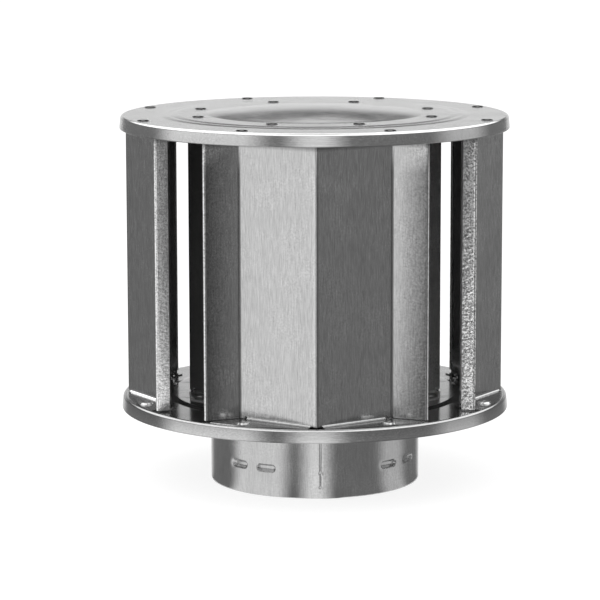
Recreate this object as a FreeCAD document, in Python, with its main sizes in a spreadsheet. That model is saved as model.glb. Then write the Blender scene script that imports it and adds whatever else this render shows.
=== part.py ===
"""Round gas vent cap: two stamped discs hold a cage of folded wind baffles over a double-wall collar.

The frame's origin is the centre of the collar's bottom edge, +Z is up, and the front baffle faces -Y.
"""
import FreeCAD, Part
import Sketcher
import math
import os
import re
from FreeCAD import Placement, Rotation, Vector

# Driving dimensions in millimetres and degrees
SIZES = {
    "base_radius": (105.8, "base disc, outside of its rim's lower edge"),
    "top_inset": (0.1, "top disc's rim, inside the base disc's"),
    "disc_gauge": (0.6, "sheet of both discs"),
    "rim_height": (7.0, "turned-down rim, from the disc's top face"),
    "rim_flare": (0.7, "how far the rim's lower edge stands out past its upper corner"),
    "rim_corner": (1.5, "cut of the rim's top corner"),
    "ring_offset": (1.1, "foot of the ring steps, outside the middle between inner and outer feet"),
    "base_step": (1.0, "rise of the base disc's middle above its outer ring"),
    "base_run": (3.4, "width of the base disc's ring step"),
    "top_step": (0.5, "rise of the top disc's middle above its outer ring"),
    "top_run": (1.2, "width of the top disc's ring step"),
    "dome_radius": (58.5, "edge of the crowned middle of the top disc"),
    "dome_rise": (3.3, "crown above the flat round it"),
    "cage_gap": (152.4, "clear height between the two discs' outer rings"),
    "base_level": (47.4, "collar's bottom edge to the base disc's top face"),
    "baffle_gauge": (0.6, "sheet of all baffles"),
    "apex_inset": (3.1, "outer baffle's front fold, inside the base disc's rim"),
    "valley_across": (39.6, "inward fold, sideways from the front fold"),
    "valley_depth": (24.9, "inward fold, behind the front fold"),
    "wing_across": (59.1, "wing's end fold, sideways"),
    "wing_depth": (17.0, "wing's end fold, behind the front fold"),
    "return_across": (57.0, "free edge of the return, sideways"),
    "return_depth": (25.4, "free edge of the return, behind the front fold"),
    "fold_radius": (0.8, "inside radius of the upright folds"),
    "wing_gap": (0.9, "walls beside the feet stop this far short of the discs"),
    "foot_radius": (1.5, "inside radius of the foot bends"),
    "foot_start": (3.5, "front fold to the start of a foot, along its panel"),
    "foot_end": (55.0, "front fold to the free end of a foot, along its panel"),
    "foot_inset": (2.8, "outer feet are cut this far inside the base disc's rim"),
    "relief": (1.2, "slit between a foot's bend and the wall beside it"),
    "outer_clinch_along": (38.3, "outer clinch, along its panel from the front fold"),
    "outer_clinch_out": (10.2, "outer clinch, out from its panel"),
    "inner_space": (1.2, "inner baffle's outer face, outside the flue liner's bore"),
    "inner_gap": (9.05, "slot between two inner baffles"),
    "inner_foot_width": (16.3, "inner baffle's foot, from its wall"),
    "inner_foot_shoulder": (4.0, "foot's straight side before its corner is cut"),
    "inner_foot_inset": (3.8, "foot's side, inside the wall's end"),
    "inner_foot_cut": (14.5, "sideways cut of each corner of the foot"),
    "inner_clinch_across": (28.1, "inner clinch, sideways from the middle of its wall"),
    "inner_clinch_out": (8.2, "inner clinch, out from its wall"),
    "clinch_radius": (2.7, "mouth of a clinch"),
    "clinch_depth": (1.5, "depth of a clinch, from the disc's outer face"),
    "clinch_wall": (0.3, "disc's sheet round and under a clinch"),
    "button_wall": (0.4, "foot's sheet round and under a clinch"),
    "liner_bore": (50.8, "inside radius of the flue liner, which is the vent's own size"),
    "liner_gauge": (0.4, "sheet of the flue liner"),
    "wall_space": (5.35, "space between the flue liner and the collar"),
    "collar_gauge": (0.6, "sheet of the collar"),
    "flange_width": (5.35, "the collar's and the liner's flange, out from the collar"),
    "lug_level": (15.4, "middle of the locking lugs above the collar's edge"),
    "lug_length": (11.5, "lug, round the collar"),
    "lug_width": (4.0, "lug, along the collar"),
    "lug_corner": (1.2, "cut corners of a lug"),
    "lug_depth": (1.8, "lug, inwards"),
    "lug_first": (-37.0, "middle of the first pair of lugs, round from the front"),
    "lug_spread": (18.1, "angle between the lugs of a pair"),
    "lap_start": (2.5, "free edge of the collar's lap seam, round from the front"),
    "lap_sweep": (13.5, "width of the lap seam, as an angle"),
    "liner_foot": (22.0, "liner's lower end above the collar's edge"),
    "flue_clearance": (0.2, "flue hole in the base disc, outside the liner's bore"),
}
CLINCH_SIDES = 8  # flats round a clinch: its copies turned by 45 degrees line up
CROWN_RINGS = (0, 0.5, 1)  # corners of the crown's section, as shares of its radius

doc = FreeCAD.newDocument("gas_vent_cap")
sheet = doc.addObject("Spreadsheet::Sheet", "sizes")
for row, (alias, (size, meaning)) in enumerate(SIZES.items(), start=1):
    sheet.set(f"A{row}", alias)
    sheet.set(f"B{row}", str(size))
    sheet.set(f"C{row}", meaning)
    sheet.setAlias(f"B{row}", alias)
doc.recompute()

# Derived sizes, as expressions of the driving ones
TOP_RADIUS = "(base_radius - top_inset)"
APEX_REACH = "(base_radius - apex_inset)"
FOOT_TRIM = "(base_radius - foot_inset)"
FOOT_RISE = "(foot_radius + baffle_gauge)"
PANEL_ANGLE = "atan(valley_depth / valley_across)"
VALLEY_RADIUS = f"sqrt(valley_across ^ 2 + ({APEX_REACH} - valley_depth) ^ 2)"
INNER_REACH = "(liner_bore + inner_space)"
INNER_HALF_WIDTH = f"({INNER_REACH} - baffle_gauge - inner_gap / sqrt(2))"
INNER_FOOT_HALF = f"({INNER_HALF_WIDTH} - inner_foot_inset)"
INNER_TIP_HALF = f"({INNER_FOOT_HALF} - inner_foot_cut)"
INNER_TIP_RADIUS = f"sqrt(({INNER_REACH} + inner_foot_width) ^ 2 + {INNER_TIP_HALF} ^ 2)"
RING_RADIUS = f"(({INNER_TIP_RADIUS} + {VALLEY_RADIUS}) / 2 + ring_offset)"
INNER_GAP = "(cage_gap + top_step - base_step)"
FLUE_LEVEL = "(base_level + base_step - disc_gauge)"
LINER_RADIUS = "(liner_bore + liner_gauge)"
COLLAR_RADIUS = f"({LINER_RADIUS} + wall_space + collar_gauge)"
FLANGE_RADIUS = f"({COLLAR_RADIUS} + flange_width)"


def expression(text):
    """The text with each size's name pointing at its cell."""
    return re.sub(r"[a-z_]+", lambda word: f"sizes.{word[0]}" if word[0] in SIZES else word[0], text)


def number(text):
    """What an expression is worth now."""
    result = sheet.evalExpression(expression(text))
    return getattr(result, "Value", result)


def bind(feature, **properties):
    """Tie properties to expressions; a double underscore stands for a dot."""
    for name, text in properties.items():
        feature.setExpression(name.replace("__", "."), expression(text))


def new_body(name):
    body = doc.addObject("PartDesign::Body", name)
    body.Label = name
    return body


def origin(body, role):
    return next(item for item in body.Origin.OriginFeatures if item.Role == role)


def attach(feature, body, plane, axis=Vector(0, 0, 1), turn="0", at=("0", "0", "0")):
    """Put a feature on one of its body's own planes, moved by at and turned about axis."""
    feature.AttachmentSupport = [(origin(body, plane), "")]
    feature.MapMode = "FlatFace"
    feature.AttachmentOffset = Placement(Vector(*map(number, at)), Rotation(axis, number(turn)))
    for key, text in zip("xyz", at):
        if text != "0":
            bind(feature, **{f"AttachmentOffset__Base__{key}": text})
    if turn != "0":
        bind(feature, AttachmentOffset__Rotation__Angle=turn)


def new_sketch(body, name, plane, **place):
    sketch = body.newObject("Sketcher::SketchObject", name)
    attach(sketch, body, plane, **place)
    return sketch


def hold(sketch, kind, *where, size):
    """Add a dimension to a sketch and tie it to an expression."""
    index = sketch.addConstraint(Sketcher.Constraint(kind, *where, number(size)))
    sketch.setExpression(f"Constraints[{index}]", expression(size))


def outline(sketch, corners, arcs=None):
    """Draw a closed outline through corners, each a pair of expressions.

    arcs maps the number of a segment to its centre's x, which makes that segment the shorter arc.
    """
    arcs = arcs or {}
    points = [Vector(number(x), number(y), 0) for x, y in corners]
    segments = []
    for index, start in enumerate(points):
        end = points[(index + 1) % len(points)]
        if index not in arcs:
            segments.append((sketch.addGeometry(Part.LineSegment(start, end)), 1, 2))
            continue
        x = number(arcs[index])
        chord = end - start
        y = (end.Length ** 2 - start.Length ** 2 - 2 * x * chord.x) / (2 * chord.y)
        centre = Vector(x, y, 0)
        first, last = ((point - centre) for point in (start, end))
        circle = Part.Circle(centre, Vector(0, 0, 1), first.Length)
        angles = [math.atan2(spoke.y, spoke.x) for spoke in (first, last)]
        forward = first.cross(last).z > 0
        if not forward:
            angles.reverse()
        arc = sketch.addGeometry(Part.ArcOfCircle(circle, *angles))
        segments.append((arc, 1, 2) if forward else (arc, 2, 1))
        hold(sketch, "DistanceX", -1, 1, arc, 3, size=arcs[index])
    for index, (geometry, start, _) in enumerate(segments):
        before, _, end = segments[index - 1]
        sketch.addConstraint(Sketcher.Constraint("Coincident", before, end, geometry, start))
        x, y = corners[index]
        hold(sketch, "DistanceX", -1, 1, geometry, start, size=x)
        hold(sketch, "DistanceY", -1, 1, geometry, start, size=y)


def pad(body, sketch, length, both_ways=False):
    feature = body.newObject("PartDesign::Pad", sketch.Name + "_pad")
    feature.Profile = sketch
    feature.Midplane = both_ways
    bind(feature, Length=length)
    sketch.Visibility = False
    return feature


def pocket(body, sketch, length, both_ways=False):
    feature = body.newObject("PartDesign::Pocket", sketch.Name + "_pocket")
    feature.Profile = sketch
    feature.Midplane = both_ways
    bind(feature, Length=length)
    sketch.Visibility = False
    return feature


def revolve(body, sketch, sweep="360"):
    feature = body.newObject("PartDesign::Revolution", sketch.Name + "_turn")
    feature.Profile = sketch
    feature.ReferenceAxis = (sketch, ["V_Axis"])
    bind(feature, Angle=sweep)
    sketch.Visibility = False
    return feature


def repeat_round(body, features, copies):
    """Repeat features round the body's Z axis."""
    pattern = body.newObject("PartDesign::PolarPattern", body.Name + "_round")
    pattern.Originals = features
    pattern.Axis = (origin(body, "Z_Axis"), [""])
    pattern.Angle = 360
    pattern.Occurrences = copies
    body.Tip = pattern


def mirror(body, features, *planes):
    """Mirror features in one or two of the body's own planes."""
    whole = body.newObject("PartDesign::MultiTransform", body.Name + "_mirrors")
    steps = []
    for plane in planes:
        step = body.newObject("PartDesign::Mirrored", f"{body.Name}_{plane}_mirror")
        step.MirrorPlane = (origin(body, plane), [""])
        steps.append(step)
    whole.Originals = features
    whole.Transformations = steps
    body.Tip = whole


def prism(body, kind, name, radius, height, at):
    """A many-sided boss or recess, standing on the body's XY plane moved by at."""
    feature = body.newObject(f"PartDesign::{kind}Prism", name)
    attach(feature, body, "XY_Plane", at=at)
    feature.Polygon = CLINCH_SIDES
    feature.Refine = False
    bind(feature, Circumradius=radius, Height=height)
    return feature


def on_panel(along, out):
    """A point of the right panel's plan: along it from the front fold, and out from its face."""
    x = f"(({along}) * cos({PANEL_ANGLE}) + ({out}) * sin({PANEL_ANGLE}))"
    y = f"(-{APEX_REACH} + ({along}) * sin({PANEL_ANGLE}) - ({out}) * cos({PANEL_ANGLE}))"
    return x, y


def outer_clinches():
    """The two clinches of the front outer baffle."""
    x, y = on_panel("outer_clinch_along", "outer_clinch_out")
    return [("-" + x, y), (x, y)]


def inner_clinches():
    """The two clinches of the front right inner baffle, which is turned by 45 degrees."""
    near = f"(({INNER_REACH} + inner_clinch_out - inner_clinch_across) * cos(45 * 1deg))"
    far = f"(({INNER_REACH} + inner_clinch_out + inner_clinch_across) * cos(45 * 1deg))"
    return [(near, "-" + far), (far, "-" + near)]


def disc(place, radius, level, upper, lower, face, clinch_up):
    """A stamped disc, top or base. Its local z = 0 is the top face of its outer ring.

    upper and lower are the corners of its middle, from the axis outwards and back. face is the
    outer side of the sheet, which the clinches start in.
    """
    name, step, run = (f"{place}_{word}" for word in ("disc", "step", "run"))
    body = new_body(name)
    section = new_sketch(body, name + "_section", "XZ_Plane")
    shift = f"disc_gauge * tan(atan({step} / {run}) / 2)"
    corner = f"{radius} - rim_flare"
    rim = [
        (f"{RING_RADIUS} - {run}", step),
        (RING_RADIUS, "0"),
        (f"{corner} - rim_corner", "0"),
        (corner, "-rim_corner"),
        (radius, "-rim_height"),
        (f"{radius} - disc_gauge", "-rim_height"),
        (f"{corner} - disc_gauge", "-rim_corner"),
        (f"{corner} - rim_corner", "-disc_gauge"),
        (f"{RING_RADIUS} - {shift}", "-disc_gauge"),
        (f"{RING_RADIUS} - {run} - {shift}", f"{step} - disc_gauge"),
    ]
    outline(section, upper + rim + lower)
    revolve(body, section)
    spots = [(spot, "0") for spot in outer_clinches()] + [(spot, step) for spot in inner_clinches()]
    cups = []
    for index, ((x, y), lift) in enumerate(spots):
        for kind, wide, start, end in (
                ("Additive", "clinch_radius + clinch_wall", "disc_gauge / 2", "clinch_depth + clinch_wall"),
                ("Subtractive", "clinch_radius", "-disc_gauge", "clinch_depth")):
            z = f"{face} + {lift} + {start}" if clinch_up else f"{face} + {lift} - ({end})"
            cup = f"{name}_{kind.lower()}_{index}"
            cups.append(prism(body, kind, cup, wide, f"{end} - ({start})", (x, y, z)))
    repeat_round(body, cups, 4)
    bind(body, Placement__Base__z=level)
    return body


def crown(below):
    """The corners of the crowned middle's section from the axis outwards, a distance below its top."""
    return [
        (f"dome_radius * {share}", f"top_step + dome_rise * (1 - {share} ^ 2) - {below}")
        for share in CROWN_RINGS
    ]


def top_disc():
    level = "base_level + cage_gap + disc_gauge"
    return disc("top", TOP_RADIUS, level, crown("0"), crown("disc_gauge")[::-1], "0", False)


def base_disc():
    hole = "liner_bore + flue_clearance"
    edge = [(hole, "base_step - disc_gauge"), (hole, "base_step")]
    return disc("base", "base_radius", "base_level", edge, [], "-disc_gauge", True)


def side_of(points, distance):
    """The points moved sideways to the left of their path, with mitred corners."""
    moved = []
    for index, point in enumerate(points):
        runs = [
            (end - start).normalize()
            for start, end in zip(points, points[1:])
        ]
        near = [runs[max(index - 1, 0)], runs[min(index, len(runs) - 1)]]
        normals = [Vector(-run.y, run.x, 0) for run in near]
        total = normals[0] + normals[1]
        moved.append(point + total * (2 * distance / total.Length ** 2))
    return moved


def folded_strip(body, name, corners, gauge):
    """A sketch of a folded sheet seen from its end: one side runs through corners, the other is parallel."""
    sketch = new_sketch(body, name, "XY_Plane")
    face = [Vector(number(x), number(y), 0) for x, y in corners]
    back = side_of(face, number(gauge))
    face_lines = [sketch.addGeometry(Part.LineSegment(*pair)) for pair in zip(face, face[1:])]
    back_lines = [sketch.addGeometry(Part.LineSegment(*pair)) for pair in zip(back, back[1:])]
    ends = [sketch.addGeometry(Part.LineSegment(face[i], back[i])) for i in (0, -1)]
    for lines in (face_lines, back_lines):
        for one, other in zip(lines, lines[1:]):
            sketch.addConstraint(Sketcher.Constraint("Coincident", one, 2, other, 1))
    for end, at, line in ((ends[0], 1, 0), (ends[1], 2, -1)):
        sketch.addConstraint(Sketcher.Constraint("Coincident", end, 1, face_lines[line], at))
        sketch.addConstraint(Sketcher.Constraint("Coincident", end, 2, back_lines[line], at))
        sketch.addConstraint(Sketcher.Constraint("Perpendicular", end, face_lines[line]))
    for one, other in zip(face_lines, back_lines):
        sketch.addConstraint(Sketcher.Constraint("Parallel", one, other))
        hold(sketch, "Distance", other, 1, one, size=gauge)
    spots = [(line, 1) for line in face_lines] + [(face_lines[-1], 2)]
    for (line, end), (x, y) in zip(spots, corners):
        hold(sketch, "DistanceX", -1, 1, line, end, size=x)
        hold(sketch, "DistanceY", -1, 1, line, end, size=y)
    return sketch, face[1:-1], back[1:-1]


def upright_edges(feature, points):
    """The names of a feature's vertical edges that stand at any of the points."""
    names = []
    for index, edge in enumerate(feature.Shape.Edges, start=1):
        low, high = edge.Vertexes[0].Point, edge.Vertexes[-1].Point
        if (high - low).cross(Vector(0, 0, 1)).Length > 1e-6:
            continue
        flat = Vector(low.x, low.y, 0)
        if any((flat - point).Length < 1e-4 for point in points):
            names.append(f"Edge{index}")
    return names


def round_folds(body, feature, points, radius, name):
    doc.recompute([feature])
    fillet = body.newObject("PartDesign::Fillet", f"{body.Name}_{name}")
    fillet.Base = (feature, upright_edges(feature, points))
    bind(fillet, Radius=radius)
    return fillet


def button(body, name, x, y, floor):
    """The foot's share of a clinch: a cup that stands up round the disc's own cup."""
    inside = "(clinch_depth + clinch_wall - disc_gauge)"
    boss = prism(body, "Additive", name + "_boss", "clinch_radius + clinch_wall + button_wall",
                 f"{inside} + button_wall", (x, y, floor))
    cup = prism(body, "Subtractive", name + "_cup", "clinch_radius + clinch_wall", inside, (x, y, floor))
    return [boss, cup]


def bend_section(sketch, wall, floor):
    """A quarter of a ring that turns a wall outwards into its foot. wall is the wall's outer face."""
    top = f"{floor} + {FOOT_RISE}"
    tangent = f"{wall} - foot_radius"
    corners = [
        (wall, top),
        (f"{wall} + baffle_gauge", top),
        (tangent, floor),
        (tangent, f"{floor} + baffle_gauge"),
    ]
    outline(sketch, corners, {1: tangent, 3: tangent})


def cut_ends(body, side, half):
    """Cut a wall's upper and lower edge back to where its feet's bends start, side either way."""
    ends = new_sketch(body, body.Name + "_wall_ends", "XZ_Plane")
    for low, high in ((f"{half} - {FOOT_RISE}", half), (f"-{half}", f"-{half} + {FOOT_RISE}")):
        outline(ends, [("-" + side, low), (side, low), (side, high), ("-" + side, high)])
    pocket(body, ends, "2 * base_radius", both_ways=True)


def out_to_trim(along):
    """How far out of the right panel the trimming circle lies."""
    return (f"sqrt({FOOT_TRIM} ^ 2 - ({along} - {APEX_REACH} * sin({PANEL_ANGLE})) ^ 2)"
            f" - {APEX_REACH} * cos({PANEL_ANGLE})")


def outer_baffle(name, turn):
    """A sheet with five upright folds and four clinched feet, turned about the axis from the front."""
    body = new_body(name)
    half = [(f"{fold}_across", f"-{APEX_REACH} + {fold}_depth") for fold in ("return", "wing", "valley")]
    corners = [("-" + x, y) for x, y in half] + [("0", "-" + APEX_REACH)] + half[::-1]
    plan, face, back = folded_strip(body, name + "_plan", corners, "baffle_gauge")
    strip = pad(body, plan, "cage_gap - 2 * wing_gap", both_ways=True)
    outward = (0, 2, 4)
    sharp = [face[i] if i in outward else back[i] for i in range(5)]
    blunt = [back[i] if i in outward else face[i] for i in range(5)]
    inside = round_folds(body, strip, blunt, "fold_radius", "inside_folds")
    round_folds(body, inside, sharp, "fold_radius + baffle_gauge", "outside_folds")

    cut_ends(body, "(valley_across - 2 * relief)", "cage_gap / 2")
    floor = "-cage_gap / 2"
    bend = new_sketch(
        body, name + "_bend", "YZ_Plane", axis=Vector(0, 1, 0), turn=PANEL_ANGLE,
        at=(f"-{APEX_REACH} + foot_start * sin({PANEL_ANGLE})", "0", f"foot_start * cos({PANEL_ANGLE})"))
    bend_section(bend, "0", floor)
    bend_pad = pad(body, bend, f"(valley_across - 3 * relief) / cos({PANEL_ANGLE}) - foot_start")

    foot = new_sketch(body, name + "_foot", "XY_Plane", at=("0", "0", floor))
    outline(foot, [
        on_panel("foot_start", "foot_radius"),
        on_panel("foot_end", "foot_radius"),
        on_panel("foot_end", out_to_trim("foot_end")),
        on_panel("foot_start", out_to_trim("foot_start")),
    ], {2: "0"})
    foot_pad = pad(body, foot, "baffle_gauge")
    clinch = button(body, name + "_clinch", *outer_clinches()[1], floor)
    mirror(body, [bend_pad, foot_pad] + clinch, "YZ_Plane", "XY_Plane")
    body.Placement = Placement(Vector(), Rotation(Vector(0, 0, 1), turn))
    bind(body, Placement__Base__z="base_level + cage_gap / 2")
    return body


def inner_baffle(name, turn):
    """A flat wall with a clinched foot at each end, turned about the axis from the front."""
    body = new_body(name)
    plan = new_sketch(body, name + "_plan", "XY_Plane")
    wall = "-" + INNER_REACH
    back = f"{wall} + baffle_gauge"
    outline(plan, [("-" + INNER_HALF_WIDTH, wall), (INNER_HALF_WIDTH, wall),
                   (INNER_HALF_WIDTH, back), ("-" + INNER_HALF_WIDTH, back)])
    pad(body, plan, f"{INNER_GAP} - 2 * wing_gap", both_ways=True)
    cut_ends(body, f"({INNER_FOOT_HALF} + relief)", f"{INNER_GAP} / 2")
    floor = f"-{INNER_GAP} / 2"
    bend = new_sketch(body, name + "_bend", "YZ_Plane")
    bend_section(bend, wall, floor)
    bend_pad = pad(body, bend, "2 * " + INNER_FOOT_HALF, both_ways=True)
    foot = new_sketch(body, name + "_foot", "XY_Plane", at=("0", "0", floor))
    half = [
        (INNER_FOOT_HALF, f"{wall} - foot_radius"),
        (INNER_FOOT_HALF, f"{wall} - inner_foot_shoulder"),
        (INNER_TIP_HALF, f"{wall} - inner_foot_width"),
    ]
    outline(foot, [("-" + x, y) for x, y in half] + half[::-1])
    foot_pad = pad(body, foot, "baffle_gauge")
    mirror(body, [bend_pad, foot_pad], "XY_Plane")
    clinch = button(body, name + "_clinch", "inner_clinch_across", f"{wall} - inner_clinch_out", floor)
    mirror(body, clinch, "YZ_Plane", "XY_Plane")
    body.Placement = Placement(Vector(), Rotation(Vector(0, 0, 1), turn))
    bind(body, Placement__Base__z=f"base_level + base_step + {INNER_GAP} / 2")
    return body


def flanged_tube(name, outside, gauge, foot, top):
    """A sheet tube whose upper end turns out into a flange."""
    body = new_body(name)
    section = new_sketch(body, name + "_section", "XZ_Plane")
    outline(section, [
        (f"{outside} - {gauge}", foot),
        (outside, foot),
        (outside, f"{top} - {gauge}"),
        (FLANGE_RADIUS, f"{top} - {gauge}"),
        (FLANGE_RADIUS, top),
        (f"{outside} - {gauge}", top),
    ])
    revolve(body, section)
    return body


def flue_liner():
    return flanged_tube("flue_liner", LINER_RADIUS, "liner_gauge", "liner_foot", FLUE_LEVEL)


def lug_outline(sketch, grow):
    """A bar with cut corners, larger by grow on every side."""
    long, wide = (f"(lug_{size} / 2 + {grow})" for size in ("length", "width"))
    cut = f"(lug_corner + {grow} * (2 - sqrt(2)))"
    corners = []
    for index, (across, up) in enumerate((("-", "-"), ("", "-"), ("", ""), ("-", ""))):
        side = (across + long, f"{up}({wide} - {cut})")
        flat = (f"{across}({long} - {cut})", up + wide)
        corners += [side, flat] if index % 2 == 0 else [flat, side]
    outline(sketch, corners)


def collar():
    """The outer tube, with a lap seam and pairs of locking lugs pressed inwards."""
    top = f"{FLUE_LEVEL} - liner_gauge"
    body = flanged_tube("collar", COLLAR_RADIUS, "collar_gauge", "0", top)
    seam = new_sketch(body, "collar_seam", "XZ_Plane", axis=Vector(0, 1, 0), turn="lap_start - 90")
    seam_top = f"{top} - 2 * collar_gauge"
    middle = f"{COLLAR_RADIUS} - collar_gauge / 2"
    proud = f"{COLLAR_RADIUS} + collar_gauge"
    outline(seam, [(middle, "0"), (proud, "0"), (proud, seam_top), (middle, seam_top)])
    revolve(body, seam, "lap_sweep")
    lugs = []
    for side, sign in (("left", "-"), ("right", "+")):
        azimuth = f"(lug_first {sign} lug_spread / 2) * 1deg"
        for kind, grow, distance in (
                ("bump", "collar_gauge", f"{COLLAR_RADIUS} - collar_gauge - lug_depth"),
                ("dent", "0", f"{COLLAR_RADIUS} + collar_gauge + lug_depth")):
            sketch = new_sketch(
                body, f"lug_{side}_{kind}", "XZ_Plane", axis=Vector(0, 1, 0), turn=azimuth,
                at=(f"({distance}) * sin({azimuth})", "lug_level", f"({distance}) * cos({azimuth})"))
            lug_outline(sketch, grow)
            if kind == "bump":
                lugs.append(pad(body, sketch, "lug_depth + collar_gauge / 2"))
            else:
                lugs.append(pocket(body, sketch, "2 * lug_depth + collar_gauge"))
    repeat_round(body, lugs, 4)
    return body


pieces = [top_disc(), base_disc(), collar(), flue_liner()]
for count, side in enumerate(("front", "right", "back", "left")):
    pieces.append(outer_baffle(f"outer_baffle_{side}", 90 * count))
for count, side in enumerate(("front_right", "back_right", "back_left", "front_left")):
    pieces.append(inner_baffle(f"inner_baffle_{side}", 45 + 90 * count))
doc.recompute()

for item in doc.Objects:
    if {"Invalid", "Error"} & set(item.State):
        raise RuntimeError(f"{item.Name} did not build: {item.State}")
for piece in pieces:
    shape = piece.Shape
    if shape.isNull() or not shape.isValid() or len(shape.Solids) != 1:
        raise RuntimeError(f"{piece.Label} is not one sound solid")

os.makedirs("parts", exist_ok=True)
for piece in pieces:
    piece.Shape.exportStep(f"parts/{piece.Label}.step")
    print(piece.Label, round(piece.Shape.Volume, 1), piece.Shape.BoundBox)
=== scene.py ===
"""Looks of a round gas vent cap: sheet pieces with rounded folds and clinches, steel, studio and camera."""

import math

import bmesh
import bpy
from mathutils import Matrix, Vector
from mathutils.geometry import tessellate_polygon


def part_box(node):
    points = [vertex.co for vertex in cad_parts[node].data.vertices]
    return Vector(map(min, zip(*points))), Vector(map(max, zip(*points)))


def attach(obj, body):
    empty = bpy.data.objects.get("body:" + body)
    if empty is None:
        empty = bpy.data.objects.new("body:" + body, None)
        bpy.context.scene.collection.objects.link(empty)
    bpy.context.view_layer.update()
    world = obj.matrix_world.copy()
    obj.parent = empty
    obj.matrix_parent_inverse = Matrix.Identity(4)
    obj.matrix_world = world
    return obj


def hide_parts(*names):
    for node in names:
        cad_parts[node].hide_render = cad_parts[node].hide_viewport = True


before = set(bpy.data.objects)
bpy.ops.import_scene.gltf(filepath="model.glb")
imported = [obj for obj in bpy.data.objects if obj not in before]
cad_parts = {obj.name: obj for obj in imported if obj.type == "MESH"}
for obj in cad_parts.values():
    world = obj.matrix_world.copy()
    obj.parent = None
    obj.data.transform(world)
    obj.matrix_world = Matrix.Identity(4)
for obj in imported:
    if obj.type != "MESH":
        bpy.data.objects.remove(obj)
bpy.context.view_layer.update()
MM = 0.001

# Sizes in millimetres, as the CAD pieces have them
GAUGE = 0.6
LINER_GAUGE = 0.4
BASE_LEVEL = 47.4
CAGE_GAP = 152.4
TOP_LEVEL = BASE_LEVEL + CAGE_GAP + GAUGE
TOP_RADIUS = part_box("top_disc")[1].x / MM
BASE_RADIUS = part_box("base_disc")[1].x / MM
RIM_HEIGHT = 7.0
RIM_FLARE = 0.7
RIM_CORNER = 1.5
RIM_CURL = 0.5
RING_RADIUS = 81.4
BASE_STEP = (1.0, 3.4)
TOP_STEP_RISE = 0.5
TOP_STEP_RADII = (76.4, 82.2)
TOP_STEP_RUN = 3.6
OUTER_HALF = CAGE_GAP / 2
INNER_HALF = (CAGE_GAP + TOP_STEP_RISE - BASE_STEP[0]) / 2
DOME_RADIUS = 58.5
DOME_RISE = 3.3
FLUE_HOLE = 51.0
APEX_REACH = 102.7
VALLEY = (39.6, 77.8)
WING = (59.1, 85.7)
RETURN = (57.0, 77.3)
FOLD_RADIUS = 0.8
BESIDE_APEX = (1.6, 2.6)
BESIDE_VALLEY = (1.1, 3.0)
FOOT_RADIUS = 1.5
FOOT_RISE = FOOT_RADIUS + GAUGE
FOOT_START = 3.5
FOOT_END = 55.0
FOOT_TRIM = 103.0
RELIEF = 1.2
WING_GAP = 0.9
INNER_REACH = 52.0
INNER_HALF_WIDTH = 45.0
INNER_FOOT = ((41.2, 4.0), (26.7, 16.3))
INNER_TURN = 45
OUTER_CLINCH = (98.5, 22.6)
INNER_CLINCH = (66.4, 20.0)
COLLAR_RADIUS = 57.15
COLLAR_TOP = BASE_LEVEL + BASE_STEP[0] - GAUGE - LINER_GAUGE
COLLAR_STEPS = 900
NECK_RADIUS = 1.0
FLANGE_RADIUS = 62.5
LINER_RADIUS = 51.2
LINER_FOOT = 22.0
LUG_LEVEL = 15.4
LUG_LENGTH = 11.5
LUG_WIDTH = 4.0
LUG_DEPTH = 1.8
LUG_FIRST = -37.0
LUG_SPREAD = 18.1
LUG_BORDER = (0.35, -1.3)
RECESS_LENGTH = 32.0
RECESS_WIDTH = 5.6
RECESS_DEPTH = 0.2
RECESS_BORDER = (1.2, -2.2)
LAP_START = 2.5
LAP_SWEEP = 13.5
LAP_EDGE = 0.85
LAP_FADE = 5.0
WELD_LEVELS = (5.5, 13.5, 33.0)
WELD_RADIUS = 1.6
WELD_RISE = 0.25

# Clinch sections: (distance from the middle, height above the sheet's face), from the hole inwards
DIMPLE = ((3.3, 0.0), (3.1, 0.15), (2.95, 0.4), (2.75, 0.35), (2.6, -0.3), (2.4, -1.1), (2.0, -1.2),
          (1.5, -0.4), (1.2, 0.2), (0.0, 0.2))
BUTTON = ((4.0, 0.0), (3.6, 0.12), (3.4, 0.45), (3.2, 0.8), (2.8, 0.98), (1.8, 0.95), (1.0, 0.8), (0.0, 0.78))
CUP = ((3.2, 0.0), (2.9, 0.1), (2.75, 0.4), (2.65, 0.8), (2.3, 0.93), (0.0, 0.93))
SHARPEST_BEND = math.radians(40)
CLINCH_STEPS = 28
DISC_STEPS = 256
FOOT_ARC_STEPS = 12
BEND_STEPS = 6

# Painted shade and painted highlights of pressed, folded and edge places: the share by which each is lighter
# or darker than plain sheet.
# Where there are four, they are those of the outer baffles from the front round by the right, or of the inner
# ones from the front right.
SHADE = "shade"
CLINCH_REACH = 3.2
CLINCH_SHADE = -1.0
CLINCH_FLOOR = 1.4
CLINCH_FLOOR_SHADE = CLINCH_SHADE / 3
BUTTON_SHADE = -0.2
INNER_BUTTON_PAINTED_SHADE = -0.65
TOP_EDGE_PAINTED_HIGHLIGHT = 0.1
BASE_EDGE_SHADE = -0.3
LIP_SHADE = -0.3
APEX_HALF_WIDTH = 0.9
APEX_DARK_SHADE = -0.4
APEX_BRIGHT_END = -2.0
APEX_PAINTED_HIGHLIGHT = 0.12
VALLEY_HALF_WIDTH = 0.6
VALLEY_SHADE = -0.7
CORNER_START = 56.3
CORNER_EDGE = 57.5
CORNER_FRONT = -82.9
CORNER_DARK_SHADE = -0.6
CORNER_PAINTED_HIGHLIGHT = 0.5
# A painted shadow along the outer baffles' tops, under the top rim.
HEAD_START = OUTER_HALF - 9.4
HEAD_FADE = 2.0
HEAD_PAINTED_SHADOW = -0.5
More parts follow.
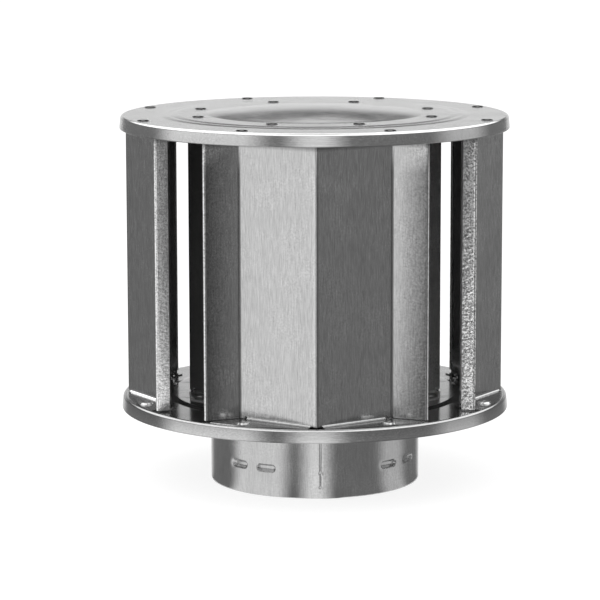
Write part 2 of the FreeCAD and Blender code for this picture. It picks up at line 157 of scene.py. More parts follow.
# Painted shade on the feet and bends, but painted highlights on the left baffle's, and painted shade on all
# inner walls but the front right one.
FOOT_SHADES = (-0.65, -0.65, -0.65, 0.1)
BEND_SHADES = (-0.4, -0.2, -0.4, 0.5)
INNER_WALL_SHADES = (0.0, -0.75, -0.75, -0.75)

# How hammered the outer baffles' wings look, from 0 to 1
HAMMER = "hammer"
BEATINGS = (0.4, 1.0, 0.4, 0.4)


def smooth(low, high, value):
    """0 up to low and 1 from high on, with a soft rise between; low may be the larger one."""
    share = min(1.0, max(0.0, (value - low) / (high - low)))
    return share * share * (3 - 2 * share)


def evenly(start, end, count):
    """The ends of count equal stretches from start to end."""
    return [start + (end - start) * k / count for k in range(count + 1)]


def rounded(corners, step=9.0):
    """A path through corners (x, y, radius), with an arc of chords of about step degrees at each radius."""
    path = []
    for index, (x, y, radius) in enumerate(corners):
        here = Vector((x, y))
        if radius == 0:
            path.append(here)
            continue
        before = (Vector(corners[index - 1][:2]) - here).normalized()
        after = (Vector(corners[index + 1][:2]) - here).normalized()
        turn = math.pi - before.angle(after)
        centre = here + (before + after).normalized() * (radius / math.cos(turn / 2))
        spoke = here + before * (radius * math.tan(turn / 2)) - centre
        side = 1 if after.cross(before) > 0 else -1
        steps = max(2, round(math.degrees(turn) / step))
        for count in range(steps + 1):
            path.append(centre + Matrix.Rotation(side * turn * count / steps, 2) @ spoke)
    return path


def circle(x, y, radius, steps):
    angles = [2 * math.pi * k / steps for k in range(steps)]
    return [Vector((x + radius * math.cos(angle), y + radius * math.sin(angle))) for angle in angles]


def lifted(points, height):
    """A level row of points at a height."""
    return [Vector((point.x, point.y, height)) for point in points]


def strip(bm, rows, closed=False):
    """Quads between rows of points that have the same count."""
    rows = [[bm.verts.new(point) for point in row] for row in rows]
    for low, high in zip(rows, rows[1:]):
        count = len(low)
        for k in range(count if closed else count - 1):
            after = (k + 1) % count
            bm.faces.new((low[k], low[after], high[after], high[k]))


def plate(bm, loops, height):
    """A flat stretch of sheet inside the first loop and outside the others."""
    loops = [lifted(loop, height) for loop in loops]
    verts = [bm.verts.new(point) for loop in loops for point in loop]
    for triangle in tessellate_polygon(loops):
        bm.faces.new([verts[k] for k in triangle])


def turned(bm, section):
    """A surface of revolution from a section of (radius, height)."""
    strip(bm, [lifted(circle(0, 0, radius, DISC_STEPS), height) for radius, height in section], closed=True)


def pressed(bm, x, y, height, section, sign=1):
    """A clinch: a small turned form from the edge of its hole inwards, up or down by its sign."""
    rows = [lifted(circle(x, y, radius, CLINCH_STEPS), height + sign * rise)
            for radius, rise in section[:-1]]
    strip(bm, rows, closed=True)
    plate(bm, [circle(x, y, section[-2][0], CLINCH_STEPS)], height + sign * section[-2][1])


def hole(x, y, section):
    """The edge of the hole that a clinch fills."""
    return circle(x, y, section[0][0], CLINCH_STEPS)


def polar(radius, angle):
    """The place at a radius and an angle in degrees, from the front (-Y) towards the right (+X)."""
    return radius * math.sin(math.radians(angle)), -radius * math.cos(math.radians(angle))


def mark(bm, name, rule):
    """Give each point of the sheet its share, rule(point), of a look such as its shade."""
    layer = bm.verts.layers.float.new(name)
    for vert in bm.verts:
        vert[layer] = rule(vert.co)


def nearest(point, spots):
    """Distance in plan from a point to the nearest of the spots."""
    return min(math.hypot(point.x - x, point.y - y) for x, y in spots)


def sheet_piece(cad_node, bm, gauge, facing, material):
    """Give an open surface its gauge on the side away from facing(point), as the looks of the CAD node.

    The faces of the sheet's edges get their material later, as the piece's second one.
    """
    name = cad_node + "_sheet"
    bmesh.ops.remove_doubles(bm, verts=bm.verts, dist=0.01)
    bmesh.ops.recalc_face_normals(bm, faces=bm.faces)
    largest = max(bm.faces, key=lambda face: face.calc_area())
    if largest.normal.dot(facing(largest.calc_center_median())) < 0:
        bmesh.ops.reverse_faces(bm, faces=bm.faces)
    bmesh.ops.scale(bm, vec=(MM, MM, MM), verts=bm.verts)
    mesh = bpy.data.meshes.new(name)
    bm.to_mesh(mesh)
    bm.free()
    piece = bpy.data.objects.new(name, mesh)
    bpy.context.scene.collection.objects.link(piece)
    thick = piece.modifiers.new("gauge", "SOLIDIFY")
    thick.thickness = gauge * MM
    thick.offset = -1
    thick.use_even_offset = True
    thick.use_quality_normals = True
    thick.material_offset_rim = 1
    piece.data = bpy.data.meshes.new_from_object(piece.evaluated_get(bpy.context.evaluated_depsgraph_get()))
    piece.data.name = name
    piece.modifiers.clear()
    bm = bmesh.new()
    bm.from_mesh(piece.data)
    for face in bm.faces:
        face.smooth = True
    for edge in bm.edges:
        edge.smooth = len(edge.link_faces) == 2 and edge.calc_face_angle() < SHARPEST_BEND
    bm.to_mesh(piece.data)
    bm.free()
    weighted = piece.modifiers.new("normals", "WEIGHTED_NORMAL")
    weighted.keep_sharp = True
    weighted.weight = 80
    piece.data.materials.clear()
    piece.data.materials.append(material)
    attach(piece, "root")
    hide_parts(cad_node)
    return piece


def rim(radius):
    """The outer edge of a disc's section: a rounded corner, a slightly flared side and a lip curled in."""
    corner = radius - RIM_FLARE
    return rounded([
        (corner - RIM_CORNER - 0.4, 0, 0),
        (corner, 0, RIM_CORNER),
        (radius - 0.1, -RIM_HEIGHT + 1.2, 2.0),
        (radius, -RIM_HEIGHT, RIM_CURL),
        (radius - 2 * RIM_CURL, -RIM_HEIGHT, 0),
    ])


def base_step():
    """The base disc's ring step: one slope."""
    rise, run = BASE_STEP
    inner = RING_RADIUS - run
    return rounded([
        (inner - 1, rise, 0),
        (inner, rise, 1.0),
        (RING_RADIUS, 0, 1.0),
        (RING_RADIUS + 1, 0, 0),
    ])


def top_step():
    """The top disc's ring step: two soft slopes with a broad land between them."""
    first, second = TOP_STEP_RADII
    half_run = TOP_STEP_RUN / 2
    soft = 3.0
    return rounded([
        (first - TOP_STEP_RUN, TOP_STEP_RISE, 0),
        (first - half_run, TOP_STEP_RISE, soft),
        (first + half_run, TOP_STEP_RISE / 2, soft),
        (second - half_run, TOP_STEP_RISE / 2, soft),
        (second + half_run, 0, soft),
        (second + TOP_STEP_RUN, 0, 0),
    ], step=2.0)


def disc(name, radius, level, middle, step, clinch, edge_shade, material, closed=False):
    """A stamped disc from the sections of its middle and its ring step; its middle may be closed."""
    bm = bmesh.new()
    edge = rim(radius)
    for section in (middle, step, edge):
        turned(bm, [(reach, height + level) for reach, height in section])
    if closed:
        plate(bm, [circle(0, 0, middle[0][0], DISC_STEPS)], middle[0][1] + level)
    flats = (
        (step[0].x, middle[-1][0], step[0].y + level, INNER_CLINCH),
        (edge[0].x, step[-1].x, level, OUTER_CLINCH),
    )
    pressings = []
    for outside, inside, height, (ring, angle) in flats:
        spots = [polar(ring, 90 * k + side * angle) for k in range(4) for side in (-1, 1)]
        pressings += spots
        holes = [hole(x, y, clinch) for x, y in spots]
        rings = [circle(0, 0, r, DISC_STEPS) for r in (outside, inside)]
        plate(bm, rings + holes, height)
        for x, y in spots:
            pressed(bm, x, y, height, clinch)

    def rule(point):
        """Painted shade inside the clinches and on the rim's lip, and edge_shade painted along the rim's
        upper edge.
        """
        if math.hypot(point.x, point.y) > radius - RIM_FLARE - RIM_CORNER:
            lower = point.z < level - RIM_HEIGHT + RIM_CURL
            return LIP_SHADE if lower else edge_shade * smooth(level - 2.0, level - 1.0, point.z)
        gap = nearest(point, pressings)
        if gap < CLINCH_REACH:
            return CLINCH_SHADE if gap > CLINCH_FLOOR else CLINCH_FLOOR_SHADE
        return 0.0

    mark(bm, SHADE, rule)
    return sheet_piece(name, bm, GAUGE, lambda point: Vector((0, 0, 1)), material)


def top_disc(material):
    crown = []
    for share in evenly(0, 1, 14)[1:]:
        crown.append((DOME_RADIUS * share, TOP_STEP_RISE + DOME_RISE * (1 - share ** 2)))
    crown.append((DOME_RADIUS + 1, TOP_STEP_RISE))
    return disc("top_disc", TOP_RADIUS, TOP_LEVEL, crown, top_step(), DIMPLE, TOP_EDGE_PAINTED_HIGHLIGHT, material,
                closed=True)


def base_disc(material):
    middle = [(FLUE_HOLE, BASE_STEP[0]), (FLUE_HOLE + 1, BASE_STEP[0])]
    return disc("base_disc", BASE_RADIUS, BASE_LEVEL, middle, base_step(), CUP, BASE_EDGE_SHADE, material)


def foot_bend(points, outward, end, half):
    """Rows of a quarter bend from a wall's end, points, out into its foot: end is -1 below and 1 above."""
    rows = []
    for angle in evenly(0, math.pi / 2, BEND_STEPS):
        out = FOOT_RADIUS * (1 - math.cos(angle))
        height = end * (half - FOOT_RISE + FOOT_RADIUS * math.sin(angle))
        rows.append(lifted([point + out * outward for point in points], height))
    return rows


def place(bm, lift, turn):
    """Lift a baffle that was made at the front, about its own middle, and turn it to its side of the cap."""
    bmesh.ops.translate(bm, vec=(0, 0, lift), verts=bm.verts)
    bmesh.ops.rotate(bm, matrix=Matrix.Rotation(math.radians(turn), 3, "Z"), verts=bm.verts)


def fold_shade(point, foot_shade, bend_shade):
    """Painted shade and highlights of an outer baffle: along its folds, a shadow under the top rim, and on
    its feet and bends.
    """
    across = abs(point.x)
    if abs(point.z) > OUTER_HALF - FOOT_RISE + 0.1 and across < VALLEY[0] - RELIEF:
        if nearest(point, [polar(OUTER_CLINCH[0], side * OUTER_CLINCH[1]) for side in (-1, 1)]) < 3.3:
            return BUTTON_SHADE
        return foot_shade if abs(point.z) > OUTER_HALF - GAUGE - 0.1 else bend_shade
    if point.z > HEAD_START:
        return HEAD_PAINTED_SHADOW * smooth(HEAD_START, HEAD_START + HEAD_FADE, point.z)
    if -0.3 < point.x < APEX_HALF_WIDTH:
        return APEX_DARK_SHADE
    if APEX_BRIGHT_END < point.x < 0:
        return APEX_PAINTED_HIGHLIGHT
    if abs(across - VALLEY[0]) < VALLEY_HALF_WIDTH:
        return VALLEY_SHADE
    if across > CORNER_START and point.y < CORNER_FRONT:
        return CORNER_PAINTED_HIGHLIGHT if across > CORNER_EDGE else CORNER_DARK_SHADE
    return 0.0


def wing_hammer(point):
    """The wings are beaten by the folding, most of all towards their corners."""
    return smooth(VALLEY[0] + 0.5, WING[0] - 2.0, abs(point.x))


def outer_baffle(name, turn, foot_shade, bend_shade, beating, material):
    """A folded sheet: a pointed front of two panels, two wings with returns, and four feet."""
    bm = bmesh.new()
    slope = math.atan2(APEX_REACH - VALLEY[1], VALLEY[0])
    along = Vector((math.cos(slope), math.sin(slope)))
    out = Vector((math.sin(slope), -math.cos(slope)))
    apex = Vector((0, -APEX_REACH))
    bend_end = (VALLEY[0] - 3 * RELIEF) / math.cos(slope)
    trim_end = (VALLEY[0] - 2 * RELIEF) / math.cos(slope)
    stops = [apex + along * stop for stop in (FOOT_START, bend_end, trim_end)]
    valley = Vector((VALLEY[0], -VALLEY[1]))
    wing = (Vector((WING[0], -WING[1])) - valley).normalized()
    near, far = BESIDE_VALLEY
    panel = [apex + along * reach for reach in BESIDE_APEX] + stops + [valley - along * near]
    right = [(p.x, p.y, 0) for p in panel]
    right.append((VALLEY[0], -VALLEY[1], FOLD_RADIUS))
    right += [(p.x, p.y, 0) for p in (valley + wing * near, valley + wing * far)]
    right.append((WING[0], -WING[1], FOLD_RADIUS + GAUGE))
    right.append((RETURN[0], -RETURN[1], 0))
    left = [(-x, y, radius) for x, y, radius in reversed(right)]
    plan = rounded(left + [(0, -APEX_REACH, FOLD_RADIUS + GAUGE)] + right)

    wall_end = OUTER_HALF - FOOT_RISE
    levels = evenly(-wall_end, HEAD_START, 11)
    levels += [HEAD_START + HEAD_FADE / 2, HEAD_START + HEAD_FADE, wall_end]
    strip(bm, [lifted(plan, level) for level in levels])
    for low, high in zip(plan, plan[1:]):
        middle = abs(low.x + high.x) / 2
        if middle > stops[2].x or middle < stops[0].x:
            for end in (-1, 1):
                strip(bm, [lifted((low, high), end * level) for level in (wall_end, OUTER_HALF - WING_GAP)])

    clinch = Vector(polar(*OUTER_CLINCH))
    for side in (-1, 1):
        mirror = Matrix.Diagonal((side, 1))
        ends = [mirror @ stop for stop in stops[:2]]
        outward = mirror @ out
        arc = []
        for stop in evenly(FOOT_END, FOOT_START, FOOT_ARC_STEPS):
            spot = apex + along * stop
            reach = -spot.dot(out) + math.sqrt(spot.dot(out) ** 2 - spot.length_squared + FOOT_TRIM ** 2)
            arc.append(mirror @ (spot + out * reach))
        root = apex + out * FOOT_RADIUS
        boundary = [mirror @ (root + along * stop) for stop in (FOOT_START, bend_end, FOOT_END)] + arc
        spot = mirror @ clinch
        for end in (-1, 1):
            strip(bm, foot_bend(ends, outward, end, OUTER_HALF))
            height = end * (OUTER_HALF - GAUGE)
            plate(bm, [boundary, hole(spot.x, spot.y, BUTTON)], height)
            pressed(bm, spot.x, spot.y, height, BUTTON, -end)
    mark(bm, SHADE, lambda point: fold_shade(point, foot_shade, bend_shade))
    mark(bm, HAMMER, lambda point: beating * wing_hammer(point))
    place(bm, BASE_LEVEL + OUTER_HALF, turn)
    facing = Vector(polar(1, turn)).to_3d()
    return sheet_piece(name, bm, GAUGE, lambda point: facing, material)


def inner_baffle(name, turn, wall_painted_shade, material):
    """A flat wall with a foot at each end."""
    bm = bmesh.new()
    wall_end = INNER_HALF - FOOT_RISE
    wide, shoulder = INNER_FOOT[0]
    across = [-INNER_HALF_WIDTH, -wide - RELIEF, -wide, wide, wide + RELIEF, INNER_HALF_WIDTH]
    plan = [Vector((x, -INNER_REACH)) for x in across]
    strip(bm, [lifted(plan, level) for level in evenly(-wall_end, wall_end, 8)])
    for corner in (plan[:2], plan[-2:]):
        for end in (-1, 1):
            strip(bm, [lifted(corner, end * level) for level in (wall_end, INNER_HALF - WING_GAP)])
    tip, depth = INNER_FOOT[1]
    start = -INNER_REACH - FOOT_RADIUS
    boundary = [Vector(corner) for corner in (
        (-wide, start), (wide, start), (wide, -INNER_REACH - shoulder), (tip, -INNER_REACH - depth),
        (-tip, -INNER_REACH - depth), (-wide, -INNER_REACH - shoulder))]
    spots = [polar(INNER_CLINCH[0], side * (INNER_TURN - INNER_CLINCH[1])) for side in (-1, 1)]
    for end in (-1, 1):
        strip(bm, foot_bend(plan[2:4], Vector((0, -1)), end, INNER_HALF))
        height = end * (INNER_HALF - GAUGE)
        plate(bm, [boundary] + [hole(x, y, BUTTON) for x, y in spots], height)
        for x, y in spots:
            pressed(bm, x, y, height, BUTTON, -end)

    def rule(point):
        """The wall's painted shade, plain feet and painted shade on the buttons."""
        if abs(point.z) < INNER_HALF - GAUGE - 0.1 and point.y > start:
            return wall_painted_shade
        return INNER_BUTTON_PAINTED_SHADE if nearest(point, spots) < BUTTON[0][0] + 0.1 else 0.0

    mark(bm, SHADE, rule)
    place(bm, BASE_LEVEL + BASE_STEP[0] + INNER_HALF, turn)
    facing = Vector(polar(1, turn)).to_3d()
    return sheet_piece(name, bm, GAUGE, lambda point: facing, material)


def bar_distance(across, up, length, width):
    """Distance from the edge of a bar with round ends, negative inside."""
    over = max(0.0, abs(across) - (length - width) / 2)
    return math.hypot(over, up) - width / 2


def collar_offset(azimuth, height):
    """How far the collar's face stands out of its plain cylinder."""
    lap = COLLAR_RADIUS * math.radians((azimuth - LAP_START + 180) % 360 - 180)
    sweep = COLLAR_RADIUS * math.radians(LAP_SWEEP)
    offset = GAUGE * (smooth(-LAP_EDGE, LAP_EDGE, lap) - smooth(sweep - LAP_FADE, sweep, lap))
    for level in WELD_LEVELS:
        offset += WELD_RISE * smooth(WELD_RADIUS, 0.0, math.hypot(lap, height - level))
    around = (azimuth - LUG_FIRST + 45) % 90 - 45
    up = height - LUG_LEVEL
    recess = bar_distance(COLLAR_RADIUS * math.radians(around), up, RECESS_LENGTH, RECESS_WIDTH)
    offset -= RECESS_DEPTH * smooth(*RECESS_BORDER, recess)
    for side in (-1, 1):
        across = COLLAR_RADIUS * math.radians(around - side * LUG_SPREAD / 2)
        offset -= LUG_DEPTH * smooth(*LUG_BORDER, bar_distance(across, up, LUG_LENGTH, LUG_WIDTH))
    return offset


def collar_row(out, level, relief):
    """Points round the collar at a level, out from its plain cylinder, with a share of its relief."""
    row = []
    for k in range(COLLAR_STEPS):
        azimuth = 360 * k / COLLAR_STEPS
        x, y = polar(COLLAR_RADIUS + out + relief * collar_offset(azimuth, level), azimuth)
        row.append(Vector((x, y, level)))
    return row


def collar(material):
    """The outer tube, with its lap seam, its pressed lugs and its hidden flange.

    Its rows are close where the weld dots and the lugs are.
    """
    bm = bmesh.new()
    levels = [0.0, 1.0] + evenly(3.9, 7.1, 8) + [9.0] + evenly(11.5, 19.5, 20) + [22.0, 27.0]
    levels += evenly(31.4, 34.6, 8) + [38.0, 42.0, 45.5]
    rows = [collar_row(0, level, 1) for level in levels]
    for angle in evenly(0, math.pi / 2, BEND_STEPS):
        out = NECK_RADIUS * (1 - math.cos(angle))
        level = COLLAR_TOP - NECK_RADIUS * (1 - math.sin(angle))
        rows.append(collar_row(out, level, smooth(2 * NECK_RADIUS, 0, out)))
    rows.append(collar_row(FLANGE_RADIUS - COLLAR_RADIUS, COLLAR_TOP, 0))
    strip(bm, rows, closed=True)
    return sheet_piece("collar", bm, GAUGE, lambda p: Vector((p.x, p.y, 0)), material)


def flue_liner(material):
    """The inner tube, whose outer face is made and gets its gauge on the inside."""
    bm = bmesh.new()
    turned(bm, rounded([
        (LINER_RADIUS, LINER_FOOT, 0),
        (LINER_RADIUS, COLLAR_TOP, NECK_RADIUS),
        (FLANGE_RADIUS, COLLAR_TOP, 0),
    ]))

    def facing(point):
        return Vector((point.x, point.y, 0)) if point.z < COLLAR_TOP - NECK_RADIUS else Vector((0, 0, -1))

    return sheet_piece("flue_liner", bm, LINER_GAUGE, facing, material)


# Materials. From the second painted shade of DULLED down to the first, metal turns matt. The dents have their
# full depth below the second of DENT_LEVELS, in metres, and the share HIGH_DENTS of it above the first.
DULLED = (-1.0, -0.6)
BEATEN_SPECKLE = 5.0
SOFT_ROUGHNESS = 0.12
FINE_ROUGHNESS = 0.1
DENT_LEVELS = (0.15, 0.07)
HIGH_DENTS = 0.3


def new_material(name):
    """A material without nodes, and its node tree."""
    material = bpy.data.materials.new(name)
    material.use_nodes = True
    tree = material.node_tree
    tree.nodes.clear()
    return material, tree


def node(tree, kind, inputs=None, **settings):
    """A node with its settings, whose inputs are values or other nodes' sockets."""
    made = tree.nodes.new(kind)
    for key, value in settings.items():
        setattr(made, key, value)
    for key, value in (inputs or {}).items():
        if isinstance(value, bpy.types.NodeSocket):
            tree.links.new(value, made.inputs[key])
        else:
            made.inputs[key].default_value = value
    return made


def math_node(tree, operation, *values):
    return node(tree, "ShaderNodeMath", dict(enumerate(values)), operation=operation).outputs[0]


def mixed(tree, share, first, second):
    """The colour between two colours."""
    return node(tree, "ShaderNodeMix", {0: share, 6: first, 7: second}, data_type="RGBA").outputs[2]


def ramp(tree, fac, stops):
    """A smooth grey ramp through stops of (position, grey)."""
    made = node(tree, "ShaderNodeValToRGB", {"Fac": fac})
    elements = made.color_ramp.elements
    while len(elements) > 1:
        elements.remove(elements[-1])
    for index, (position, grey) in enumerate(stops):
        element = elements[0] if index == 0 else elements.new(position)
        element.position = position
        element.color = (grey, grey, grey, 1)
    return made.outputs["Color"]


def ranged(tree, value, start, end, low=0.0, high=1.0):
    """low up to start and high from end on, with a straight rise between."""
    return node(tree, "ShaderNodeMapRange", {
        "Value": value, "From Min": start, "From Max": end, "To Min": low, "To Max": high}).outputs[0]


def noise(tree, point, scale, detail, roughness=0.5):
    return node(tree, "ShaderNodeTexNoise", {
        "Vector": point, "Scale": scale, "Detail": detail, "Roughness": roughness}).outputs["Fac"]


def stretched(tree, point, share):
    """Coordinates whose last axis is multiplied by a share."""
    return node(tree, "ShaderNodeMapping", {"Vector": point, "Scale": (1, 1, share)}).outputs[0]


def varied(tree, base, pattern, amount):
    """A base value to which a pattern about 0.5 adds its amount."""
    return math_node(tree, "MULTIPLY_ADD", math_node(tree, "SUBTRACT", pattern, 0.5), amount, base)


def flat_polar(tree, where):
    """The split coordinates, the angle from the front and the distance from the axis."""
    split = node(tree, "ShaderNodeSeparateXYZ", {0: where}).outputs
    azimuth = math_node(tree, "ARCTAN2", split["X"], math_node(tree, "MULTIPLY", split["Y"], -1.0))
    flat = node(tree, "ShaderNodeCombineXYZ", {"X": split["X"], "Y": split["Y"]}).outputs[0]
    reach = node(tree, "ShaderNodeVectorMath", {0: flat}, operation="LENGTH").outputs["Value"]
    return split, azimuth, reach


def grain_point(tree, where, grain):
    """Coordinates in which the sheet's grain runs along the last axis."""
    if grain == "round":
        split, azimuth, reach = flat_polar(tree, where)
        return node(tree, "ShaderNodeCombineXYZ", {
            "X": reach, "Y": split["Z"], "Z": math_node(tree, "MULTIPLY", azimuth, 0.1)}).outputs[0]
    if grain == "across":
        return node(tree, "ShaderNodeMapping", {"Vector": where, "Rotation": (0, math.pi / 2, 0)}).outputs[0]
    return where


def steel(name, tone, rough, grain, streak=0.45, band=0.06, mottle=0.1, speckle=0.5):
    """Galvanised or brushed sheet: fine short grain, faint bands, soft mottling and patches of speckle.

    tone and rough are its grey and roughness. streak, band, mottle and speckle say how much each varies it.
    """
    material, tree = new_material(name)
    where = node(tree, "ShaderNodeTexCoord").outputs["Object"]
    point = grain_point(tree, where, grain)
    fine = noise(tree, stretched(tree, point, 0.08), 1900.0, 2.0)
    broad = noise(tree, stretched(tree, point, 0.02), 160.0, 2.0)
    soft = noise(tree, point, 55.0, 4.0, 0.55)
    speck = noise(tree, point, 1000.0, 1.0)
    dents = noise(tree, stretched(tree, where, 1.8), 420.0, 1.0)
    painted_shade_and_highlight = node(tree, "ShaderNodeAttribute", attribute_name=SHADE).outputs["Fac"]
    beaten = node(tree, "ShaderNodeAttribute", attribute_name=HAMMER).outputs["Fac"]

    grey = varied(tree, tone, fine, streak)
    grey = varied(tree, grey, broad, band)
    grey = varied(tree, grey, soft, mottle)
    patch = math_node(tree, "MULTIPLY_ADD", beaten, BEATEN_SPECKLE, ranged(tree, soft, 0.42, 0.6, low=0.15))
    specks = math_node(tree, "MULTIPLY", math_node(tree, "SUBTRACT", speck, 0.5), patch)
    grey = math_node(tree, "MULTIPLY_ADD", specks, speckle, grey)
    # Painted shade and painted highlights from the shade attribute darken or lighten the grey.
    grey = math_node(tree, "MULTIPLY", grey, math_node(tree, "ADD", painted_shade_and_highlight, 1.0))
    colour = node(tree, "ShaderNodeCombineColor", {"Red": grey, "Green": grey, "Blue": grey}).outputs[0]
    roughness = varied(tree, rough, soft, SOFT_ROUGHNESS)
    roughness = varied(tree, roughness, fine, FINE_ROUGHNESS)

    height = node(tree, "ShaderNodeSeparateXYZ", {0: where}).outputs["Z"]
    depth = math_node(tree, "MULTIPLY", ranged(tree, height, *DENT_LEVELS, low=HIGH_DENTS),
                      math_node(tree, "MULTIPLY", beaten, beaten))
    normal = None
    for relief, strength, distance in (
            (fine, 0.25, 0.02 * MM), (soft, 0.5, 0.1 * MM), (dents, depth, 0.5 * MM)):
        inputs = {"Height": relief, "Strength": strength, "Distance": distance}
        if normal is not None:
            inputs["Normal"] = normal
        normal = node(tree, "ShaderNodeBump", inputs).outputs[0]
    shader = node(tree, "ShaderNodeBsdfPrincipled", {
        "Base Color": colour, "Metallic": ranged(tree, painted_shade_and_highlight, *DULLED), "Roughness": roughness,
        "Specular IOR Level": 0.1, "Normal": normal})
    node(tree, "ShaderNodeOutputMaterial", {"Surface": shader.outputs[0]})
    return material


# Studio, in metres

def seen_or_mirrored(tree):
    """1 for what the camera sees directly, in metal or through glass, and 0 for other light."""
    path = node(tree, "ShaderNodeLightPath").outputs
    direct = math_node(tree, "MAXIMUM", path["Is Camera Ray"], path["Is Glossy Ray"])
    return math_node(tree, "MAXIMUM", direct, path["Is Transmission Ray"])


def studio_world():
    """White behind the cap and in its reflections, and a plain soft light elsewhere."""
    world = bpy.data.worlds.new("studio")
    bpy.context.scene.world = world
    world.use_nodes = True
    tree = world.node_tree
    tree.nodes.clear()
    strength = math_node(tree, "MULTIPLY_ADD", seen_or_mirrored(tree), 0.2, 0.8)
    light = node(tree, "ShaderNodeBackground", {"Color": (1, 1, 1, 1), "Strength": strength})
    node(tree, "ShaderNodeOutputWorld", {"Surface": light.outputs[0]})


def floor():
    """A pale floor, white but for a soft contact shadow."""
    bm = bmesh.new()
    bmesh.ops.create_grid(bm, x_segments=1, y_segments=1, size=FLOOR_SIZE / 2)
    material, tree = new_material("pale_floor")
    matt = node(tree, "ShaderNodeBsdfDiffuse", {"Color": (0.35, 0.35, 0.35, 1)}).outputs[0]
    strength = math_node(tree, "MULTIPLY", seen_or_mirrored(tree), 0.8)
    glow = node(tree, "ShaderNodeEmission", {"Color": (1, 1, 1, 1), "Strength": strength}).outputs[0]
    both = node(tree, "ShaderNodeAddShader", {0: matt, 1: glow}).outputs[0]
    node(tree, "ShaderNodeOutputMaterial", {"Surface": both})
    staged("floor", bm, material)


def staged(name, bm, material):
    """A part of the studio, not attached to the cap's body."""
    mesh = bpy.data.meshes.new(name)
    bm.to_mesh(mesh)
    bm.free()
    mesh.materials.append(material)
    made = bpy.data.objects.new(name, mesh)
    bpy.context.scene.collection.objects.link(made)
    return made


def card(name, rows, material):
    """A card that stands round the cap out of the picture, where only the metal shows it."""
    bm = bmesh.new()
    strip(bm, rows)
    made = staged(name, bm, material)
    made.visible_camera = False
    made.visible_diffuse = False
    made.visible_shadow = False
    made.visible_transmission = False


def card_row(reach, height):
    """Points of a level circle at a reach from the axis, that starts and ends at the back."""
    return [Vector((*polar(reach, angle), height)) for angle in evenly(-180, 180, CARD_STEPS)]


def mirrored_direction(tree, azimuth, reach):
    """The way that a mirror ray from the cap's side runs when it meets the floor at azimuth and reach."""
    side = ranged(tree, reach, *COLLAR_TO_CAGE, low=COLLAR_RADIUS * MM, high=BASE_RADIUS * MM)
    ratio = math_node(tree, "DIVIDE", side, reach)
    direction = azimuth
    for _ in range(3):
        facing = math_node(tree, "SINE", math_node(tree, "MULTIPLY", direction, 0.5))
        shift = math_node(tree, "ARCSINE", math_node(tree, "MULTIPLY", ratio, facing))
        direction = math_node(tree, "ADD", azimuth, shift)
    return direction


def studio_ring(*soft_cards):
    """Stops of (degrees, grey) round the cap: soft cards on the dull ground between the backdrop's halves."""
    backdrop_end = 180 - BACKDROP_HALF_WIDTH
    ground_start = backdrop_end - CARD_BORDER
    stops = [(-180, BACKDROP), (-backdrop_end, BACKDROP), (-ground_start, GROUND)]
    for middle, half_width, grey in soft_cards:
        reach = half_width + CARD_BORDER
        stops += [(middle - reach, GROUND), (middle - half_width, grey)]
        stops += [(middle + half_width, grey), (middle + reach, GROUND)]
    return stops + [(ground_start, GROUND), (backdrop_end, BACKDROP), (180, BACKDROP)]


def plain_ring(grey):
    """Stops of (degrees, grey) for a card that is the same all round."""
    return [(-180, grey), (180, grey)]


def card_material(name, tables, limits, lying):
    """Light that changes with direction, as each table of (degrees, grey) says, from one table to the next.

    limits are the heights in degrees where each table of a standing card gives way to the next.
    """
    material, tree = new_material(name)
    split, azimuth, reach = flat_polar(tree, node(tree, "ShaderNodeTexCoord").outputs["Object"])
    height = math_node(tree, "DEGREES", math_node(tree, "ARCTAN2", split["Z"], reach))
    if lying:
        azimuth = mirrored_direction(tree, azimuth, reach)
    turn = math_node(tree, "MULTIPLY_ADD", azimuth, 0.5 / math.pi, 0.5)
    zones = [ramp(tree, turn, [(0.5 + degrees / 360, grey / CARD_LIGHT) for degrees, grey in table])
             for table in tables]
    colour = zones[0]
    for zone, (start, end) in zip(zones[1:], limits):
        colour = mixed(tree, ranged(tree, height, start, end), colour, zone)
    light = node(tree, "ShaderNodeEmission", {"Color": colour, "Strength": CARD_LIGHT}).outputs[0]
    node(tree, "ShaderNodeOutputMaterial", {"Surface": light})
    return material


CAP_MIDDLE = Vector((0, 0, 0.12))

# The photograph's camera: its place before it is turned about the cap's axis, and its yaw, pitch and roll
CAMERA_PLACE = Vector((0, -1.5191, 0.3475))
CAMERA_TURN = -0.484
CAMERA_ANGLES = (-0.303, 9.325, -0.111)
CAMERA_LENS = 168.55

# The studio that the metal sees: soft cards on a dull ground, each as (its middle in degrees from the front
# towards the right, half its width, its grey), and the pale backdrop behind the cap.
CARD_LIGHT = 2.2
CARD_BORDER = 15
GROUND = 0.2
BACKDROP = 0.8
BACKDROP_HALF_WIDTH = 15
KEY = (-65, 25, 0.9)
FILL = (95, 10, 0.6)
STRIP = (0, 5, 1.0)

# Above the wall are a dark flag, a bright hood and a dull top. The limits are in degrees of height.
FLAG_GREY = 0.1
HOOD_GREY = 1.8
TOP_GREY = 0.4
WALL_LIMITS = ((12, 14), (20, 26), (70, 80))
FLOOR_SIZE = 24.0
FLOOR_REACH = (0.0578, 2.9)
FLOOR_CARD_HEIGHT = 0.0002
WALL_REACH = 3.0
WALL_FOOT = 0.001
HOOD_DEGREES = range(12, 90, 4)
CARD_STEPS = 72

# The reaches of the floor card that the collar mirrors end where those that the cage mirrors start.
COLLAR_TO_CAGE = (0.18, 0.27)


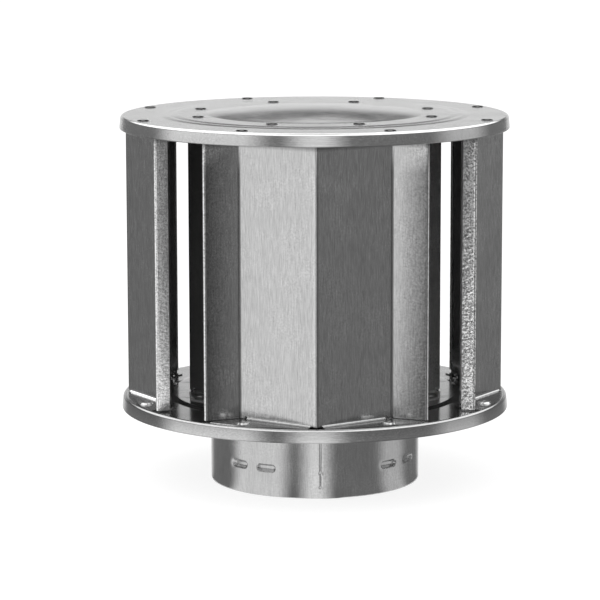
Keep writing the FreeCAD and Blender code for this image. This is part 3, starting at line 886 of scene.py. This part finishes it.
def cards():
    """The studio round the cap: a floor card, a wall and a hood."""
    ring = studio_ring(KEY, STRIP, FILL)
    lying = card_material("floor_card", (ring,), (), True)
    card("floor_card", [card_row(reach, FLOOR_CARD_HEIGHT) for reach in FLOOR_REACH], lying)
    rings = (ring, plain_ring(FLAG_GREY), plain_ring(HOOD_GREY), plain_ring(TOP_GREY))
    standing = card_material("hood_card", rings, WALL_LIMITS, False)
    angles = [math.radians(angle) for angle in HOOD_DEGREES]
    hood = [card_row(WALL_REACH * math.cos(angle), WALL_REACH * math.sin(angle)) for angle in angles]
    card("hood_card", hood, standing)
    wall_top = WALL_REACH * math.tan(angles[0])
    card("wall_card", [card_row(WALL_REACH, height) for height in (WALL_FOOT, wall_top)], standing)


def lamp(name, place_m, size_m, watts):
    """A soft lamp that lights matt things and isn't mirrored."""
    light = bpy.data.lights.new(name, "AREA")
    light.size = size_m
    light.energy = watts
    made = bpy.data.objects.new(name, light)
    made.location = place_m
    aim = CAP_MIDDLE - Vector(place_m)
    made.rotation_euler = aim.to_track_quat("-Z", "Y").to_euler()
    made.visible_glossy = False
    bpy.context.scene.collection.objects.link(made)


def camera():
    """The photograph's camera: a long lens a little above the cap."""
    turn = Matrix.Rotation(math.radians(CAMERA_TURN), 3, "Z")
    yaw, pitch, roll = (math.radians(angle) for angle in CAMERA_ANGLES)
    forward = Vector((math.sin(yaw) * math.cos(pitch), math.cos(yaw) * math.cos(pitch), -math.sin(pitch)))
    level = Vector((math.cos(yaw), -math.sin(yaw), 0))
    upright = level.cross(forward)
    right = math.cos(roll) * level + math.sin(roll) * upright
    up = math.cos(roll) * upright - math.sin(roll) * level
    axes = Matrix((turn @ right, turn @ up, turn @ -forward)).transposed()
    data = bpy.data.cameras.new("photo_camera")
    data.sensor_width = 36.0
    data.lens = CAMERA_LENS
    data.clip_end = 50.0
    made = bpy.data.objects.new("photo_camera", data)
    made.matrix_world = Matrix.Translation(turn @ CAMERA_PLACE) @ axes.to_4x4()
    bpy.context.scene.collection.objects.link(made)
    bpy.context.scene.camera = made


plate_steel = steel("disc_steel", 0.64, 0.16, "across", streak=0.3, band=0.05, mottle=0.06, speckle=0.15)
baffle_steel = steel("baffle_steel", 0.6, 0.18, "upright", mottle=0.08, speckle=0.3)
collar_steel = steel("collar_steel", 0.6, 0.2, "upright", streak=0.22, mottle=0.2, speckle=0.25)
liner_aluminium = steel("liner_aluminium", 0.72, 0.3, "round", streak=0.2, speckle=0.1)
inner_steel = steel("inner_steel", 0.86, 0.5, "upright", streak=0.3)
# The cut edges are lighter than the sheet, partly their own finish and partly a painted highlight along them.
cut_edge = steel("cut_edge", 0.82, 0.34, "across", streak=0.2, speckle=0.1)

pieces = [top_disc(plate_steel), base_disc(plate_steel), collar(collar_steel), flue_liner(liner_aluminium)]
for index, side in enumerate(("front", "right", "back", "left")):
    pieces.append(outer_baffle(f"outer_baffle_{side}", 90 * index, FOOT_SHADES[index], BEND_SHADES[index],
                               BEATINGS[index], baffle_steel))
for index, side in enumerate(("front_right", "back_right", "back_left", "front_left")):
    pieces.append(inner_baffle(f"inner_baffle_{side}", INNER_TURN + 90 * index, INNER_WALL_SHADES[index],
                               inner_steel))
for piece in pieces:
    piece.data.materials.append(cut_edge)

studio_world()
floor()
cards()
lamp("key", (-1.2, -1.2, 1.7), 2.2, 14.0)
lamp("fill", (1.5, -0.7, 1.5), 2.2, 6.0)
camera()
bpy.context.scene.view_settings.view_transform = "Standard"
